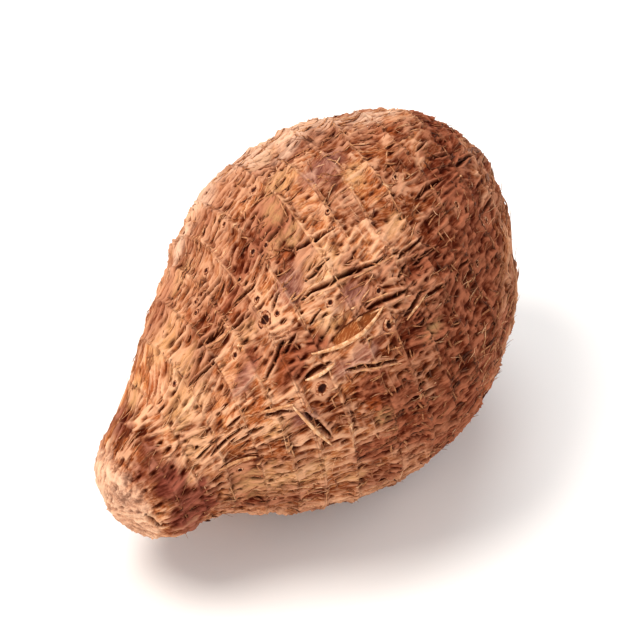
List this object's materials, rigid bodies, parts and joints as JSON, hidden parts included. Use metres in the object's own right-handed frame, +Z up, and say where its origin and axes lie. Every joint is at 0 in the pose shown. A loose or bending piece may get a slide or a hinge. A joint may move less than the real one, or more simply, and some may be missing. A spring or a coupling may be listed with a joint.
{
  "type": "taro root",
  "caption": "Whole taro corm lying on its side: fat pear shape with a short rounded neck, ringed by raised leaf scars and a fibrous brown net skin.",
  "frame": {"origin": "on the resting plane, under the middle of the corm's bounding box", "axes": "+Z up; +X along the corm from the narrow neck to the fat butt end; +Y to the left when looking along +X"},
  "size_m": [0.1108, 0.0722, 0.0735],
  "materials": {
    "corm_skin": "rough, dry, fibrous brown skin"
  },
  "bodies": {
    "root": {"corm": "corm_skin"}
  },
  "joints": []
}
